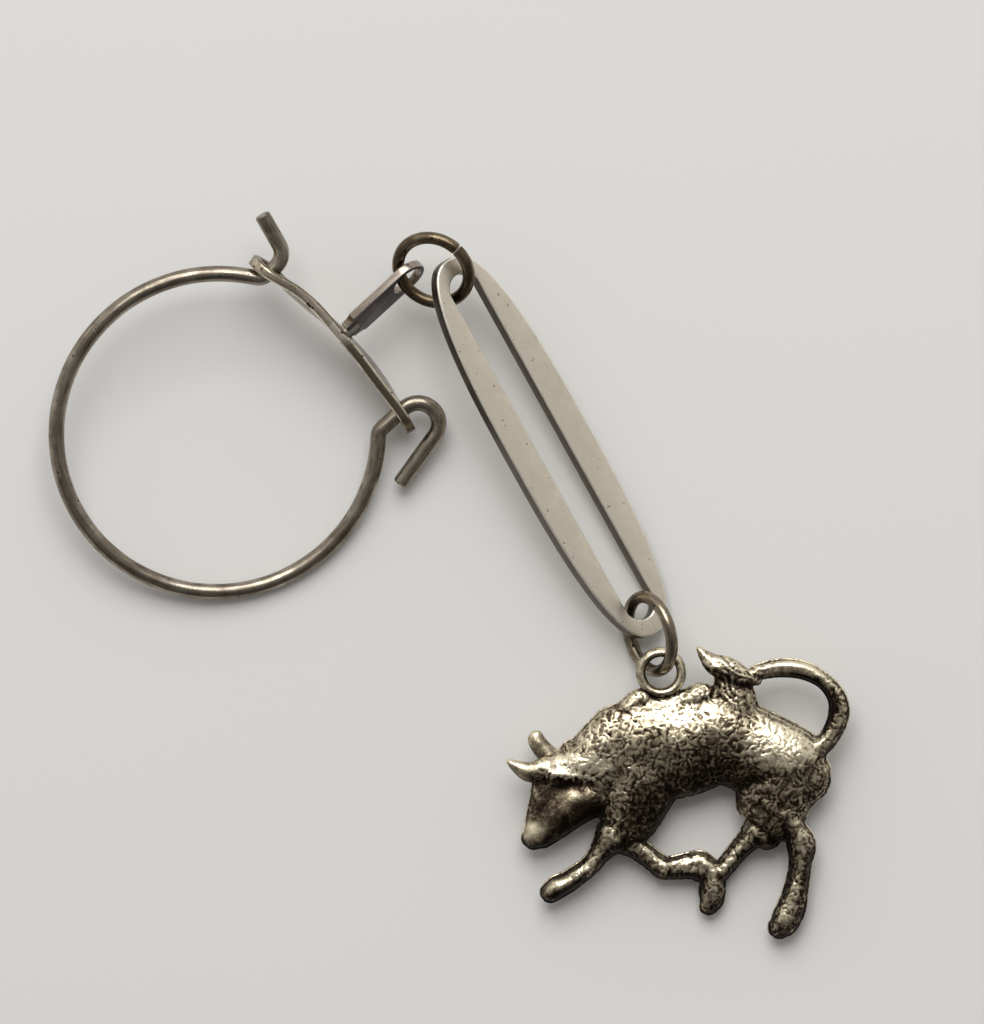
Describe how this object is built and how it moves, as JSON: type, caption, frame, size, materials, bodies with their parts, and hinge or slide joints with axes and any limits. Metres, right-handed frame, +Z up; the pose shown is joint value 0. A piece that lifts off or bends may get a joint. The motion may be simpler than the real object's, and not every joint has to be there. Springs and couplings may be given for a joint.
{
  "type": "keyring",
  "caption": "Keyring: a hooked spring-wire key ring closed by a T-shaped hasp, joined by jump rings and a slotted oval link to a cast bull pendant.",
  "frame": {"origin": "on the surface the keyring lies on, under the middle of its footprint as laid out", "axes": "+Z up from the surface, +X from the key ring towards the bull, +Y towards the key ring's far side"},
  "size_m": [0.0728, 0.0662, 0.0084],
  "materials": {
    "spring_steel": "plated spring wire, worn and slightly dulled",
    "nickel_strip": "polished nickel plate, scratched",
    "aged_jump_ring": "aged plate, dark in the crooks",
    "satin_link": "satin nickel with scratches and edge nicks",
    "antique_pewter": "antiqued casting, dark patina in the hollows and rubbed bright on the high spots"
  },
  "bodies": {
    "key_ring": {"key_ring": "spring_steel"},
    "hasp_bar": {"hasp_bar": "nickel_strip"},
    "swivel_shank": {"swivel_shank": "nickel_strip"},
    "upper_jump_ring": {"upper_jump_ring": "aged_jump_ring"},
    "oval_link": {"oval_link": "satin_link"},
    "lower_jump_ring": {"lower_jump_ring": "aged_jump_ring"},
    "bull": {"bull": "antique_pewter"}
  },
  "joints": [
    {"name": "hasp_rock", "type": "hinge", "parent": "key_ring", "child": "hasp_bar", "pos_m": [-0.01038, 0.02127, 0.00405], "axis": [-0.6704, 0.7216, 0.1727], "range_deg": [-8, 8]},
    {"name": "shank_swivel", "type": "hinge", "parent": "hasp_bar", "child": "swivel_shank", "pos_m": [-0.00974, 0.02185, 0.0041], "axis": [0.7383, 0.672, 0.0581], "continuous": true},
    {"name": "upper_ring_swing", "type": "hinge", "parent": "swivel_shank", "child": "upper_jump_ring", "pos_m": [-0.00423, 0.0268, 0.00438], "axis": [0.4673, -0.8206, -0.329], "range_deg": [-50, 30]},
    {"name": "link_swing", "type": "hinge", "parent": "upper_jump_ring", "child": "oval_link", "pos_m": [0.0011, 0.0256, 0.00556], "axis": [0.5858, 0.5849, 0.561], "range_deg": [-25, 75]},
    {"name": "lower_ring_swing", "type": "hinge", "parent": "oval_link", "child": "lower_jump_ring", "pos_m": [0.01662, -0.00256, 0.00212], "axis": [-0.3306, -0.5799, -0.7446], "range_deg": [-60, 60]},
    {"name": "bull_swing", "type": "hinge", "parent": "lower_jump_ring", "child": "bull", "pos_m": [0.01924, -0.00856, 0.00378], "axis": [0.4893, 0.2166, 0.8448], "range_deg": [-50, 50]}
  ]
}
